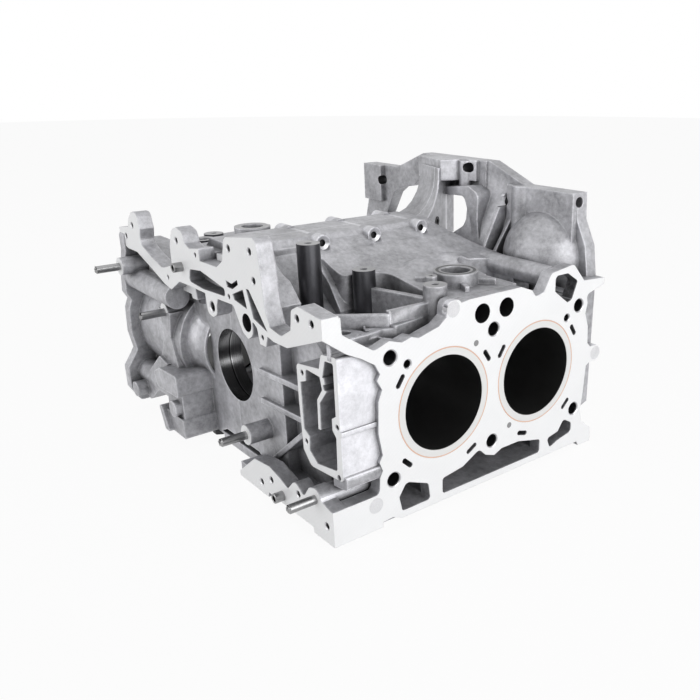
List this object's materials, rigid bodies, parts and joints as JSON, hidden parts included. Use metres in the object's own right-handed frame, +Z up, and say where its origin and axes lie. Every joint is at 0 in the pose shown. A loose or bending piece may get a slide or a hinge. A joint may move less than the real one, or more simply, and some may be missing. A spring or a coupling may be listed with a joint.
{
  "type": "engine block",
  "caption": "Flat-four engine block: two cast aluminium case halves with cylinder liners, dowels, pins and a bell for the gearbox.",
  "frame": {"origin": "on the crank axis, at the front face of the front main bearing", "axes": "+X towards the left cylinder bank, +Y rearwards along the crank to the bell, +Z up; the two case halves meet on the plane X = 0"},
  "size_m": [0.406, 0.363, 0.275],
  "materials": {
    "cast_aluminium": "as-cast satin aluminium with bright machined faces",
    "liner_iron": "honed dark iron bore, machined flush at the head face",
    "copper": "thin bright copper ring",
    "pin_steel": "ground bright steel",
    "bolt_steel": "dark plated steel",
    "plug_aluminium": "pressed plug, machined flush",
    "dark_plug": "blackened steel plug"
  },
  "bodies": {
    "root": {"case_half_left": "cast_aluminium", "case_half_right": "cast_aluminium", "liner_1": "liner_iron", "liner_2": "liner_iron", "liner_3": "liner_iron", "liner_4": "liner_iron", "sealing_rings": "copper", "guide_pins_left": "pin_steel", "guide_pins_right": "pin_steel", "cover_dowels": "pin_steel", "case_dowels": "pin_steel", "case_bolts_upper": "bolt_steel", "case_bolts_lower": "bolt_steel", "gallery_plugs_left": "plug_aluminium", "gallery_plugs_right": "plug_aluminium", "small_plugs_left": "pin_steel", "small_plugs_right": "pin_steel", "drain_plug": "dark_plug", "socket_plug": "dark_plug"}
  },
  "joints": []
}
